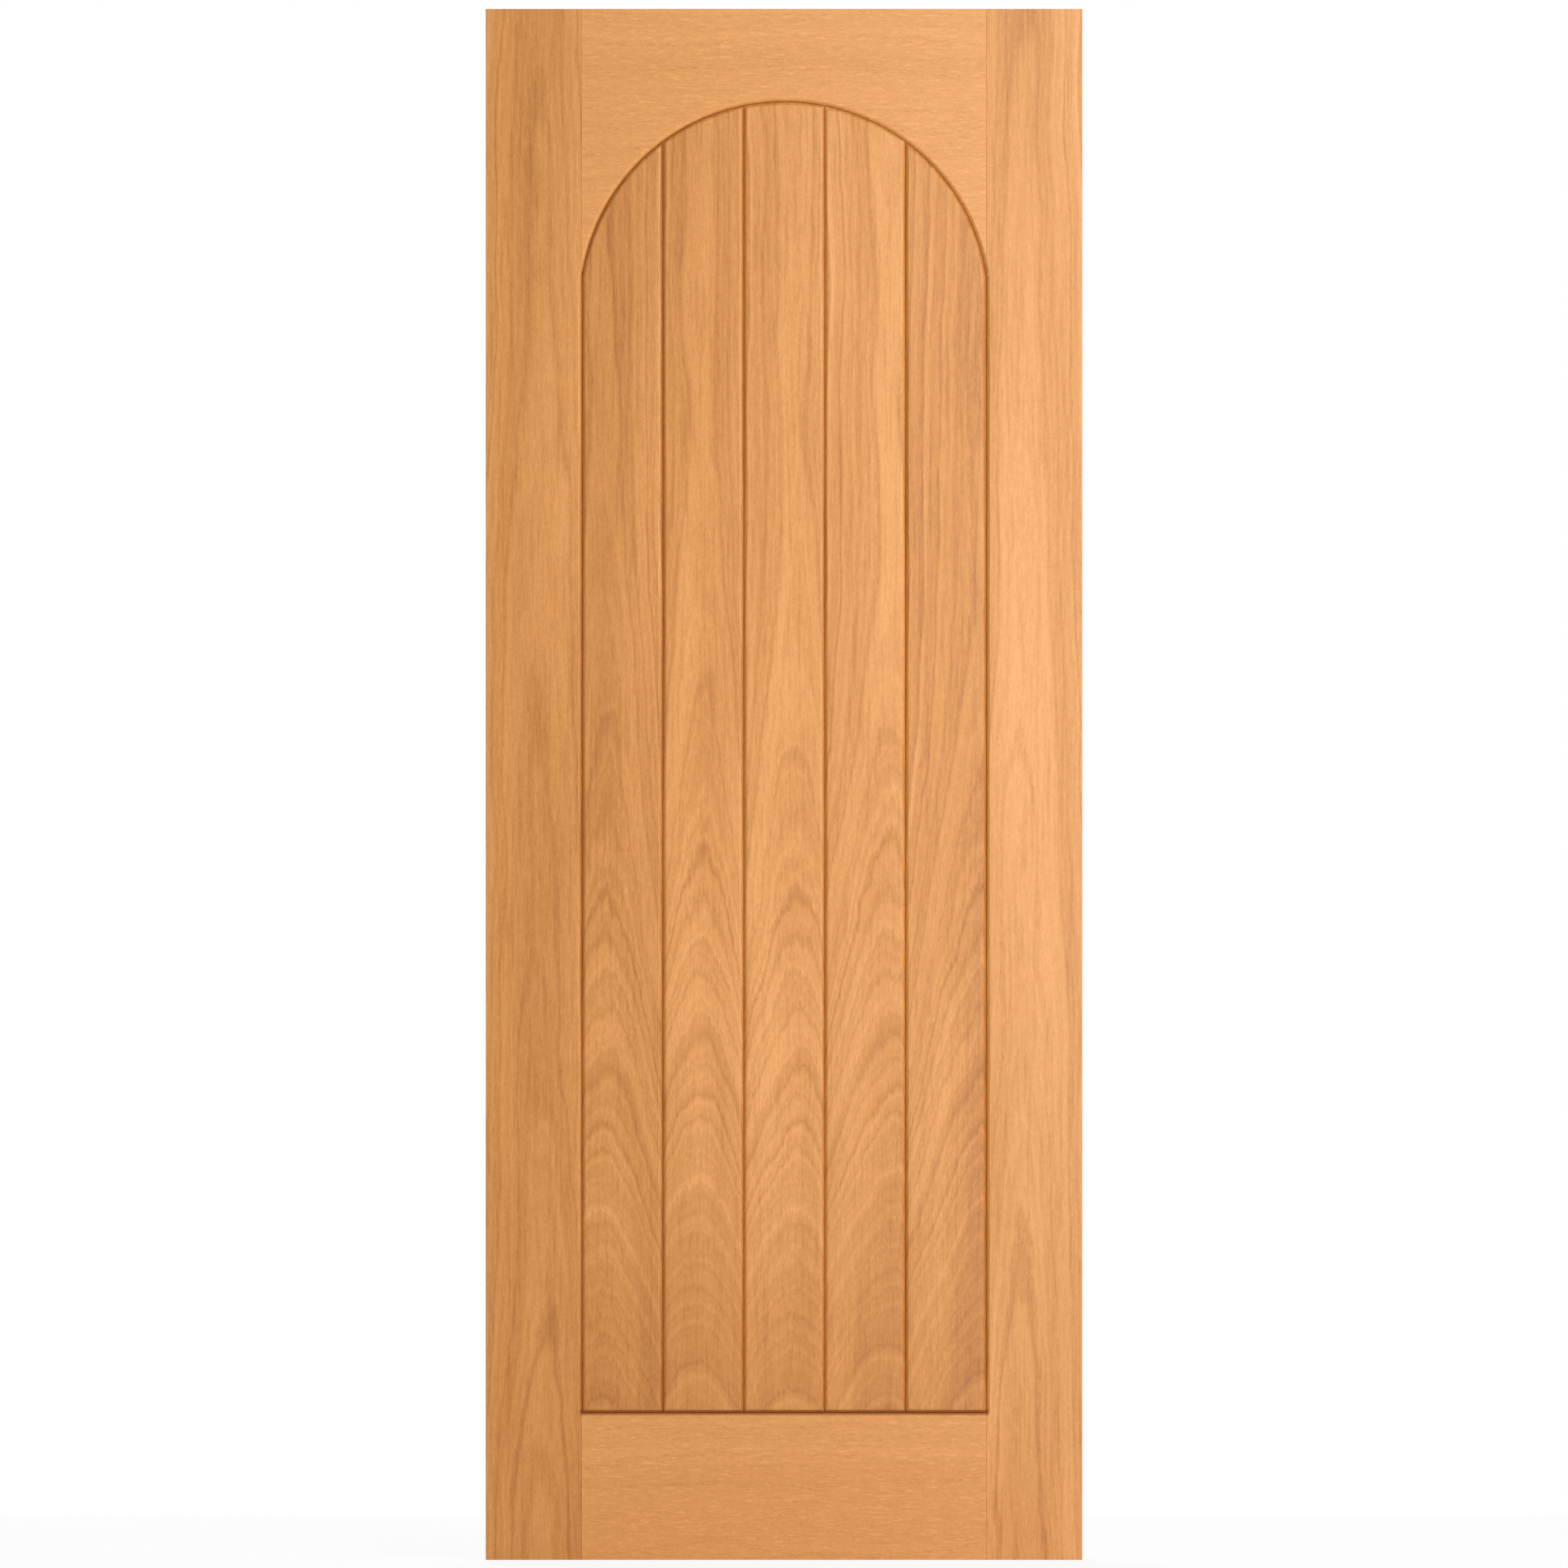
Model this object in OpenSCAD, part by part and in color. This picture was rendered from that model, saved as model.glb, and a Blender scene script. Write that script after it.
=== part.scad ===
// Arched wooden door leaf: two stiles, an arched top rail and a bottom rail, dowelled together,
// round a flush panel of vertical tongued-and-grooved boards with V joints on both faces.
// Millimetres. X runs across the leaf, Y through its thickness with the front face at -Y,
// and Z up. The origin is the middle of the bottom edge.

/* [Leaf] */
// Height of the leaf
leaf_h = 1981; // [1700:1:2400]
// Width of the leaf
leaf_w = 762; // [610:1:926]
// Thickness of the leaf
leaf_t = 35; // [32:0.5:54]
// Chamfer on the outer edges of the leaf
arris = 1; // [0.5:0.1:2]

/* [Frame] */
// Face width of each stile
stile_w = 122.5; // [100:0.5:140]
// Height of the top rail above the crown of the arch
crown_h = 118; // [90:1:200]
// How much larger the radius of the arch is than half the width of the panel opening
arch_ease = 2.8; // [1:0.1:10]
// Height of the bottom rail
bottom_rail_h = 188; // [150:1:260]
// Width of the groove in the inner edge of the frame
groove_w = 12; // [10:0.5:14]
// Depth of the groove in the inner edge of the frame
groove_d = 12; // [8:0.5:16]

/* [Boards] */
// Number of boards across the panel
board_count = 5; // [3:1:7]
// Width of the V grooves at the face
vee_w = 8; // [4:0.5:9]
// Thickness of the tongue between two boards
tongue_t = 8; // [5:0.5:8]
// Length of the tongue between two boards
tongue_l = 9; // [5:0.5:14]

/* [Dowels] */
// Diameter of the dowels in the frame joints
dowel_d = 16; // [8:0.5:18]
// Length of the dowels
dowel_l = 110; // [70:1:130]
// Number of dowels in each joint
dowel_count = 3; // [2:1:4]
// Least distance from the edge of a rail to the axis of a dowel
dowel_edge = 35; // [25:1:40]

/* [Hidden] */
// Clearance on each cheek of a tongue or stub tenon in its groove
cheek_gap = 0.15;
// Gap left for the boards to swell, at the end of a tongue
swell_gap = 1.5;
// Gap between the shoulder of the panel and the frame
rim_gap = 0.4;
// Gap between the shoulders of two boards
joint_gap = 0.3;
// Radial clearance of a dowel in its hole, filled with glue
dowel_gap = 0.1;
// Length of a dowel hole past the end of its dowel
dowel_end_gap = 2;
// Wood left between a dowel hole and the panel groove
dowel_wall = 6;
// Thickness at which the pointed ends of the top rail are cut off
tip_t = 0.8;
// Length by which a cut runs past the face that it opens
overrun = 1;

half_w = leaf_w / 2 - stile_w;
arch_r = half_w + arch_ease;
arch_z = leaf_h - crown_h - arch_r;
tip_z = arch_z + arch_rise(arch_r, half_w - tip_t);
stub_l = groove_d - swell_gap;
stub_t = groove_w - cheek_gap * 2;
board_w = (half_w * 2 - rim_gap * 2 - joint_gap * (board_count - 1)) / board_count;
dowel_reach = dowel_l / 2 + dowel_end_gap;

// Colours of the darker and lighter oak and of the beech dowels
oak = [0.87, 0.62, 0.38];
oak_light = [0.89, 0.64, 0.4];
beech = [0.86, 0.72, 0.55];
$fn = 96;

BOARDS = [for (n = [1:board_count]) str("board_", n)];
FRAME = ["hanging_stile", "lock_stile", "arched_top_rail", "bottom_rail"];
DOWELS = ["top_hanging_dowels", "top_lock_dowels", "bottom_hanging_dowels", "bottom_lock_dowels"];

// Height of a circle of the given radius above its centre, at a distance x to the side
function arch_rise(r, x) = sqrt(max(r * r - x * x, 0));

// Left edge of a board's face, counting the boards from 1 at the hanging side
function board_x(n) = -half_w + rim_gap + (n - 1) * (board_w + joint_gap);

// Lowest height at which the top rail is long enough to hold a dowel clear of the panel groove
function top_dowel_low() =
    arch_z + arch_rise(arch_r + groove_d, half_w - dowel_reach - dowel_wall) + dowel_d / 2;

// Heights of the dowels in the joints of the top rail and of the bottom rail
function spread(low, high) = [for (k = [0:dowel_count - 1]) low + (high - low) * k / (dowel_count - 1)];
top_dowel_z = spread(top_dowel_low(), leaf_h - dowel_edge);
bottom_dowel_z = spread(dowel_edge, bottom_rail_h - groove_d - dowel_edge);

// Outline of the panel opening, a rectangle that runs up into an arch, grown by one amount at the
// sides and the arch and by another at the foot, and centred on the thickness of the leaf
module arch_prism(grow, thick, foot) {
    half = half_w + grow;
    r = arch_r + grow;
    low = bottom_rail_h - foot;
    side_h = arch_z + arch_rise(r, half) - low;
    translate([-half, -thick / 2, low]) cube([half * 2, thick, side_h]);
    translate([0, thick / 2, arch_z]) rotate([90, 0, 0]) intersection() {
        cylinder(r = r, h = thick);
        translate([-half, 0, 0]) cube([half * 2, r, thick]);
    }
}

// Section of a V cutter: half of it lies in the wood and leaves a V of the given width
module diamond(width) {
    half = width / 2;
    polygon([[-half, 0], [0, -half], [half, 0], [0, half]]);
}

// Straight V cutter, which also cuts the chamfer along an edge
module vee_bar(width, length) {
    linear_extrude(height = length) diamond(width);
}

// What is cut into the front face and the back face alike
module on_both_faces() {
    for (y = [-leaf_t / 2, leaf_t / 2]) translate([0, y, 0]) children();
}

// V groove between the panel and the frame: up both sides, round the arch and along the foot, with
// the cone that a V cutter leaves in each lower corner and a mitre where the arch leaves the sides
module rim_vee() {
    half = half_w - rim_gap / 2;
    r = arch_r - rim_gap / 2;
    low = bottom_rail_h + rim_gap / 2;
    high = arch_z + arch_rise(r, half);
    bend = acos(half / r);
    mitre = vee_w / 2 * tan(bend / 2);
    start = bend - asin(mitre / r);
    on_both_faces() {
        for (x = [-half, half]) translate([x, 0, low]) {
            vee_bar(vee_w, high - low + mitre);
            rotate([90, 0, 0]) for (turn = [0, 180]) rotate([turn, 0, 0])
                cylinder(r1 = vee_w / 2, r2 = 0, h = vee_w / 2);
        }
        translate([-half, 0, low]) rotate([0, 90, 0]) vee_bar(vee_w, half * 2);
        translate([0, 0, arch_z]) rotate([90, 0, 0]) rotate([0, 0, start])
            rotate_extrude(angle = 180 - start * 2) translate([r, 0]) diamond(vee_w);
    }
}

// V grooves along both edges of one board, where it meets its neighbours
module board_vee(n) {
    edges = [
        if (n > 1) board_x(n) - joint_gap / 2,
        if (n < board_count) board_x(n) + board_w + joint_gap / 2
    ];
    on_both_faces() for (x = edges) translate([x, 0, 0]) vee_bar(vee_w, leaf_h);
}

// Chamfers along the outer edges of the whole leaf
module outer_chamfers() {
    width = arris * 2;
    on_both_faces() {
        for (x = [-leaf_w / 2, leaf_w / 2]) translate([x, 0, -overrun])
            vee_bar(width, leaf_h + overrun * 2);
        for (z = [0, leaf_h]) translate([-leaf_w / 2 - overrun, 0, z]) rotate([0, 90, 0])
            vee_bar(width, leaf_w + overrun * 2);
    }
    for (x = [-leaf_w / 2, leaf_w / 2], z = [0, leaf_h]) translate([x, leaf_t / 2 + overrun, z])
        rotate([90, 0, 0]) vee_bar(width, leaf_t + overrun * 2);
}

// Dowels or their holes across the joint between a rail and the stile at x = side * half_w
module dowel_row(side, heights, r, length) {
    for (z = heights) translate([side * half_w - length / 2, 0, z]) rotate([0, 90, 0])
        cylinder(r = r, h = length);
}

module dowel_holes() {
    heights = concat(top_dowel_z, bottom_dowel_z);
    for (side = [-1, 1]) dowel_row(side, heights, dowel_d / 2 + dowel_gap, dowel_reach * 2);
}

module dowels(side, heights) {
    color(beech) dowel_row(side, heights, dowel_d / 2, dowel_l);
}

// Stile at the hanging side, grooved along its whole inner edge for the panel and the stub tenons
module stile() {
    difference() {
        translate([-leaf_w / 2, -leaf_t / 2, 0]) cube([stile_w, leaf_t, leaf_h]);
        translate([-half_w - groove_d, -groove_w / 2, -overrun])
            cube([groove_d + overrun, groove_w, leaf_h + overrun * 2]);
        rim_vee();
        outer_chamfers();
        dowel_holes();
    }
}

// Square length of rail between the stiles with a stub tenon at each end, cut out for the panel
module rail(low, high) {
    difference() {
        union() {
            translate([-half_w, -leaf_t / 2, low]) cube([half_w * 2, leaf_t, high - low]);
            translate([-half_w - stub_l, -stub_t / 2, low])
                cube([(half_w + stub_l) * 2, stub_t, high - low]);
        }
        arch_prism(0, leaf_t + overrun * 2, 0);
        arch_prism(groove_d, groove_w, groove_d);
        rim_vee();
        outer_chamfers();
        dowel_holes();
    }
}

// Board of the panel: a full-thickness body, a thinner tongue round the rim of the panel that
// sits in the groove of the frame, and a tongue and a groove along its two edges
module board(n) {
    left = n > 1 ? board_x(n) : -leaf_w / 2;
    right = n < board_count ? board_x(n) + board_w : leaf_w / 2;
    tongue_end = n < board_count ? right + tongue_l : right;
    difference() {
        union() {
            intersection() {
                arch_prism(-rim_gap, leaf_t, -rim_gap);
                translate([left, -leaf_t, 0]) cube([right - left, leaf_t * 2, leaf_h]);
            }
            intersection() {
                arch_prism(stub_l, stub_t, groove_d);
                translate([left, -leaf_t, 0]) cube([right - left, leaf_t * 2, leaf_h]);
            }
            intersection() {
                arch_prism(stub_l, tongue_t, groove_d);
                translate([left, -leaf_t, 0]) cube([tongue_end - left, leaf_t * 2, leaf_h]);
            }
        }
        if (n > 1) translate([left - overrun, -tongue_t / 2 - cheek_gap, 0])
            cube([tongue_l - joint_gap + swell_gap + overrun, tongue_t + cheek_gap * 2, leaf_h]);
        board_vee(n);
        rim_vee();
    }
}

module hanging_stile() { color(oak) stile(); }
module lock_stile() { color(oak_light) mirror([1, 0, 0]) stile(); }
module arched_top_rail() { color(oak_light) rail(tip_z, leaf_h); }
module bottom_rail() { color(oak) rail(0, bottom_rail_h); }

hanging_stile();
lock_stile();
arched_top_rail();
bottom_rail();
for (n = [1:board_count]) color(oak_light) board(n);
dowels(-1, top_dowel_z);  // top_hanging_dowels
dowels(1, top_dowel_z);  // top_lock_dowels
dowels(-1, bottom_dowel_z);  // bottom_hanging_dowels
dowels(1, bottom_dowel_z);  // bottom_lock_dowels
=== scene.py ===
# Looks of an arched oak door leaf: lacquered stiles, rails and V-jointed boards
import math

import bmesh
import bpy
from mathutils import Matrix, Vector


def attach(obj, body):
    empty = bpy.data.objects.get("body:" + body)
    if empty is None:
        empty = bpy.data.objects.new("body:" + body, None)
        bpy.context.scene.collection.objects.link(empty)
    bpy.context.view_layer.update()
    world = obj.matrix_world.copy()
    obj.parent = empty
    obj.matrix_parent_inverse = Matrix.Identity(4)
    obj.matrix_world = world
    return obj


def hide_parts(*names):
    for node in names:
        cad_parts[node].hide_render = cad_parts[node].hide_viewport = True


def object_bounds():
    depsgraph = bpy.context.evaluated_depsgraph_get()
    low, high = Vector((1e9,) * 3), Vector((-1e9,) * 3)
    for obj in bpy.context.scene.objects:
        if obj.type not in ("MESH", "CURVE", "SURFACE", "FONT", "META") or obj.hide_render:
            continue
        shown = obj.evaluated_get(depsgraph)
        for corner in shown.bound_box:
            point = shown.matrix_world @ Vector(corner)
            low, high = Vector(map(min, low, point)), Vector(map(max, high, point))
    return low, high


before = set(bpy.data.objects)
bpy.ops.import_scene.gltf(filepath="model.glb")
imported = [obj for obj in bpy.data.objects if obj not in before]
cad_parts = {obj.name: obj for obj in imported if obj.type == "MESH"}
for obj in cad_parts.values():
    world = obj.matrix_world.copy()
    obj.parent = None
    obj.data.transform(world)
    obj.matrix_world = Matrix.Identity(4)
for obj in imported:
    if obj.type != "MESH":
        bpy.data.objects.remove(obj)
cad_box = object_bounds()

# Sizes of the leaf in metres, the same as those of the solids
LEAF_HIGH = Vector(cad_box[1])
LEAF_H = LEAF_HIGH.z
FACE_Y = LEAF_HIGH.y
STILE_X = LEAF_HIGH.x
HALF_W = 0.2585
ARCH_R = 0.2613
ARCH_Z = 1.6017
BOTTOM_RAIL_H = 0.188
BOARD_W = 0.103
BOARD_STEP = 0.1033
RIM_GAP = 0.0004
VEE_LEG = 0.0038
PANEL_GROOVE = 0.012
STUB = 0.0105
STUB_T = 0.0117
TONGUE = 0.009
TONGUE_T = 0.008
JOINT_PLAY = 0.0003
SWELL_GAP = 0.0012
TIP_Z = 1.645
VEE_BEND_Z = 1.6401
VEE_RUN_OUT = 0.0195

# Length by which the blank of the top rail runs past the ends of its arch, before it is sawn
RAIL_SPARE = 0.024

# Small edges that a sander and a brush leave, and the number of flats that round them
ARRIS = 0.001
ARRIS_FLATS = 3
VEE_ARRIS = 0.0009
BOARD_ARRIS = 0.0014
VEE_FLATS = 4
JOINT_ARRIS = 0.0005
ARC_STEP = 0.016
SHARP_ANGLE = math.radians(35)
FLAT_FACE_WEIGHT = 80

# Distances under which two places count as one
NEAR = 0.00002
ARC_NEAR = 0.0005
RIM_NEAR = 0.0003
CUT_NEAR = 0.0000001
MERGE_NEAR = 0.000002

# Slopes that tell a square face and an edge face, and the sharpest corner that is stepped out in full
SQUARE_ON = 0.999
EDGE_SLOPE = 0.1
CORNER_LIMIT = 0.5

# Shares of a V groove's run-out at which its width is set, at the foot and at the arch
FOOT_SHARES = (1, 0.9, 0.7, 0.4, 0)
ARCH_SHARES = (0, 0.25, 0.5, 0.7, 0.85, 1)

BOARDS = ["board_1", "board_2", "board_3", "board_4", "board_5"]
DOWELS = ["top_hanging_dowels", "top_lock_dowels", "bottom_hanging_dowels", "bottom_lock_dowels"]


def board_left(number):
    """Left edge of a board's face, counting from 1 at the hanging side."""
    return -HALF_W + RIM_GAP + (number - 1) * BOARD_STEP


# Joinery operations
def cut_plane(mesh, point, normal, take_away):
    """Cuts the wood at a plane and may take away the side that the normal points to."""
    whole = mesh.verts[:] + mesh.edges[:] + mesh.faces[:]
    return bmesh.ops.bisect_plane(
        mesh, geom=whole, dist=CUT_NEAR, plane_co=point, plane_no=normal, clear_outer=take_away
    )


def saw(mesh, point, normal):
    """Saws off the side that the normal points to and closes the cut."""
    cut = cut_plane(mesh, point, normal, True)
    rim = [part for part in cut["geom_cut"] if isinstance(part, bmesh.types.BMEdge)]
    bmesh.ops.edgeloop_fill(mesh, edges=rim)


def score(mesh, point, normal):
    """Marks a plane across the wood as edges, with nothing taken away."""
    cut_plane(mesh, point, normal, False)


def plane_off(mesh, edges, width, flats=1):
    """Chamfers edges, or rounds them where there are more flats."""
    bmesh.ops.bevel(
        mesh, geom=edges, offset=width, offset_type="OFFSET", affect="EDGES", segments=flats,
        profile=0.5, material=-1, clamp_overlap=True
    )


def mark_middle(mesh, thick):
    """Marks the lines of a tongue or a groove, centred on the thickness of the leaf."""
    score(mesh, (0, -thick / 2, 0), (0, 1, 0))
    score(mesh, (0, thick / 2, 0), (0, 1, 0))


def middle_of(mesh, thick, wanted):
    """Faces of the edges of the wood that lie inside a tongue's or a groove's lines and are wanted."""
    mesh.normal_update()
    found = []
    for face in mesh.faces:
        centre = face.calc_center_median()
        on_edge = abs(face.normal.y) < EDGE_SLOPE and abs(centre.y) < thick / 2
        if on_edge and wanted(centre, face.normal):
            found.append(face)
    return found


def step_out(mesh, faces, depth):
    """Takes faces straight out to a tongue, or in to a groove where the depth is below zero."""
    step = bmesh.ops.extrude_face_region(mesh, geom=faces)
    bmesh.ops.delete(mesh, geom=faces, context="FACES")
    moves = {}
    for face in step["geom"]:
        if isinstance(face, bmesh.types.BMFace):
            for vert in face.verts:
                moves.setdefault(vert, []).append(face.normal.copy())
    for vert, normals in moves.items():
        way = sum(normals, Vector()).normalized()
        vert.co += way * (depth / max(way.dot(normals[0]), CORNER_LIMIT))


def thicken(mesh):
    """Turns a flat outline at the front face into wood of the leaf's thickness."""
    front = bmesh.ops.extrude_face_region(mesh, geom=mesh.faces[:])
    back = [part for part in front["geom"] if isinstance(part, bmesh.types.BMVert)]
    bmesh.ops.translate(mesh, verts=back, vec=(0, FACE_Y * 2, 0))
    bmesh.ops.recalc_face_normals(mesh, faces=mesh.faces[:])


def face_edges(mesh, wanted):
    """Edges that lie in the front face or the back face and whose middle is wanted."""
    found = []
    for edge in mesh.edges:
        first, second = edge.verts
        in_face = abs(abs(first.co.y) - FACE_Y) < NEAR and abs(first.co.y - second.co.y) < NEAR
        if in_face and wanted((first.co + second.co) / 2):
            found.append(edge)
    return found


def at_joint(middle):
    """Is true where a rail or a stile meets its neighbour."""
    return abs(abs(middle.x) - HALF_W) < NEAR


def from_arch(point):
    """Distance of a point from the centre line of the arch."""
    return math.hypot(point.x, point.z - ARCH_Z)


def draw_arch(mesh, radius, left, right):
    """Draws the arch between a left and a right edge and returns its right and left ends."""
    start = math.acos(right / radius)
    angle = math.acos(left / radius) - start
    first = mesh.verts.new((right, -FACE_Y, ARCH_Z + radius * math.sin(start)))
    swept = bmesh.ops.spin(
        mesh, geom=[first], cent=(0, -FACE_Y, ARCH_Z), axis=(0, -1, 0), angle=angle,
        steps=round(angle * radius / ARC_STEP)
    )
    last = [part for part in swept["geom_last"] if isinstance(part, bmesh.types.BMVert)][0]
    return first, last


def draw_on(mesh, ends, shifts):
    """Draws a straight line on from each of two ends and returns the new ends."""
    new_ends = []
    for end, shift in zip(ends, shifts):
        drawn = bmesh.ops.extrude_vert_indiv(mesh, verts=[end])
        bmesh.ops.translate(mesh, verts=drawn["verts"], vec=shift)
        new_ends.append(drawn["verts"][0])
    return new_ends


def close_outline(mesh, ends):
    """Joins the two ends of a drawn line and fills the outline."""
    bmesh.ops.contextual_create(mesh, geom=ends)
    bmesh.ops.edgeloop_fill(mesh, edges=mesh.edges[:])


def hand_over(mesh, name, node):
    """Makes the finished wood an object that stands for its CAD node."""
    bmesh.ops.remove_doubles(mesh, verts=mesh.verts[:], dist=MERGE_NEAR)
    bmesh.ops.dissolve_degenerate(mesh, edges=mesh.edges[:], dist=MERGE_NEAR)
    bmesh.ops.recalc_face_normals(mesh, faces=mesh.faces[:])
    for vert in mesh.verts:
        vert.co.y = max(-FACE_Y, min(FACE_Y, vert.co.y))
        vert.co.z = max(0.0, min(LEAF_H, vert.co.z))
    shape = bpy.data.meshes.new(name)
    mesh.to_mesh(shape)
    mesh.free()
    shape.shade_smooth()
    shape.set_sharp_from_angle(angle=SHARP_ANGLE)
    piece = bpy.data.objects.new(name, shape)
    bpy.context.scene.collection.objects.link(piece)
    normals = piece.modifiers.new("flat_faces", "WEIGHTED_NORMAL")
    normals.keep_sharp = True
    normals.weight = FLAT_FACE_WEIGHT
    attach(piece, "root")
    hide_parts(node)
    return piece


# Pieces of the leaf
def make_board(number):
    """Board of the panel with its V edges, its rim tongue, and the tongue and groove of its joints."""
    left = board_left(number)
    right = left + BOARD_W
    mesh = bmesh.new()
    ends = draw_arch(mesh, ARCH_R - RIM_GAP, left, right)
    foot = BOTTOM_RAIL_H + RIM_GAP
    drops = [(0, 0, foot - end.co.z) for end in ends]
    close_outline(mesh, draw_on(mesh, ends, drops))
    thicken(mesh)
    plane_off(mesh, face_edges(mesh, lambda middle: True), VEE_LEG)
    plane_off(mesh, face_edges(mesh, lambda middle: True), BOARD_ARRIS, VEE_FLATS)
    mark_middle(mesh, STUB_T)
    mark_middle(mesh, TONGUE_T)
    mark_middle(mesh, TONGUE_T + JOINT_PLAY)

    def grooved(centre, normal):
        return number > 1 and normal.x < -SQUARE_ON

    def tongued(centre, normal):
        return number < len(BOARDS) and normal.x > SQUARE_ON

    def in_frame(centre, normal):
        return not grooved(centre, normal) and not tongued(centre, normal)

    # Left of the middle the rim tongue leans away from the joint, so it is drawn on to it
    step_out(mesh, middle_of(mesh, STUB_T, in_frame), STUB)
    rim_r = ARCH_R - RIM_GAP + STUB
    for vert in mesh.verts:
        on_rim = abs(from_arch(vert.co) - rim_r) < RIM_NEAR
        if right < 0 and on_rim and right - vert.co.x < STUB:
            vert.co.x = right
            vert.co.z = ARCH_Z + math.sqrt(rim_r ** 2 - right ** 2)
        if number > 1:
            vert.co.x = max(vert.co.x, left)
        if number < len(BOARDS):
            vert.co.x = min(vert.co.x, right)
    if number > 1:
        step_out(mesh, middle_of(mesh, TONGUE_T + JOINT_PLAY, grooved), -TONGUE - SWELL_GAP)
    if number < len(BOARDS):
        step_out(mesh, middle_of(mesh, TONGUE_T, tongued), TONGUE)
    return hand_over(mesh, "oak_" + BOARDS[number - 1], BOARDS[number - 1])


def add_stubs(mesh):
    """Stub tenons on both ends of a rail, as long as the ends are high."""
    mark_middle(mesh, STUB_T)
    for side in (-1, 1):
        tenon = middle_of(
            mesh, STUB_T,
            lambda centre, normal: normal.x * side > SQUARE_ON and abs(centre.x - side * HALF_W) < NEAR
        )
        step_out(mesh, tenon, STUB)


def make_top_rail():
    """Rail across the top, cut to an arch underneath and grooved there for the boards."""
    mesh = bmesh.new()
    ends = draw_arch(mesh, ARCH_R, -ARCH_R, ARCH_R)
    ends = draw_on(mesh, ends, ((RAIL_SPARE, 0, 0), (-RAIL_SPARE, 0, 0)))
    rise = (0, 0, LEAF_H - ARCH_Z)
    close_outline(mesh, draw_on(mesh, ends, (rise, rise)))
    thicken(mesh)

    def on_arch(middle, normal=None):
        return abs(from_arch(middle) - ARCH_R) < ARC_NEAR

    def on_lip(middle):
        return abs(from_arch(middle) - ARCH_R - VEE_LEG) < ARC_NEAR

    plane_off(mesh, face_edges(mesh, on_arch), VEE_LEG)
    plane_off(mesh, face_edges(mesh, on_lip), VEE_ARRIS, VEE_FLATS)
    mark_middle(mesh, PANEL_GROOVE)
    step_out(mesh, middle_of(mesh, PANEL_GROOVE, on_arch), -PANEL_GROOVE)
    saw(mesh, (0, 0, TIP_Z), (0, 0, -1))
    saw(mesh, (HALF_W, 0, 0), (1, 0, 0))
    saw(mesh, (-HALF_W, 0, 0), (-1, 0, 0))
    plane_off(mesh, face_edges(mesh, at_joint), JOINT_ARRIS)
    plane_off(mesh, face_edges(mesh, lambda middle: middle.z > LEAF_H - NEAR), ARRIS, ARRIS_FLATS)
    add_stubs(mesh)
    return hand_over(mesh, "oak_arched_top_rail", "arched_top_rail")


def make_bottom_rail():
    """Rail across the foot, grooved along its top for the boards."""
    mesh = bmesh.new()
    first = mesh.verts.new((HALF_W, -FACE_Y, 0))
    second = mesh.verts.new((-HALF_W, -FACE_Y, 0))
    rise = (0, 0, BOTTOM_RAIL_H)
    ends = draw_on(mesh, (first, second), (rise, rise))
    bmesh.ops.contextual_create(mesh, geom=[first, second])
    close_outline(mesh, ends)
    thicken(mesh)
    lip_z = BOTTOM_RAIL_H - VEE_LEG
    plane_off(mesh, face_edges(mesh, lambda middle: middle.z > BOTTOM_RAIL_H - NEAR), VEE_LEG)
    plane_off(mesh, face_edges(mesh, lambda middle: abs(middle.z - lip_z) < NEAR), VEE_ARRIS, VEE_FLATS)
    mark_middle(mesh, PANEL_GROOVE)
    top = middle_of(mesh, PANEL_GROOVE, lambda centre, normal: normal.z > SQUARE_ON)
    step_out(mesh, top, -PANEL_GROOVE)
    plane_off(mesh, face_edges(mesh, at_joint), JOINT_ARRIS)
    plane_off(mesh, face_edges(mesh, lambda middle: middle.z < NEAR), ARRIS, ARRIS_FLATS)
    add_stubs(mesh)
    return hand_over(mesh, "oak_bottom_rail", "bottom_rail")


def vee_leg_at(height):
    """Width of the V chamfer on a stile: it runs out at the foot and where the arch leaves the stile."""
    foot = BOTTOM_RAIL_H + RIM_GAP / 2
    outer_r = ARCH_R + VEE_LEG
    width = VEE_LEG
    if height > ARCH_Z:
        rise = height - ARCH_Z
        width = min(width, math.sqrt(max(outer_r * outer_r - rise * rise, 0)) - HALF_W)
    elif height < foot:
        width = math.sqrt(max(VEE_LEG * VEE_LEG - (foot - height) ** 2, 0))
    return max(width, JOINT_ARRIS)


def outer_edges(mesh):
    """Edges of a stile along the outer side and the two ends of the leaf."""
    found = []
    for edge in mesh.edges:
        middle = (edge.verts[0].co + edge.verts[1].co) / 2
        run = edge.verts[0].co - edge.verts[1].co
        on_face = abs(abs(middle.y) - FACE_Y) < NEAR
        at_side = abs(abs(middle.x) - STILE_X) < NEAR
        at_end = middle.z < NEAR or middle.z > LEAF_H - NEAR
        if at_side and (on_face or at_end):
            found.append(edge)
        elif at_end and on_face and abs(run.x) > NEAR:
            found.append(edge)
    return found


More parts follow.
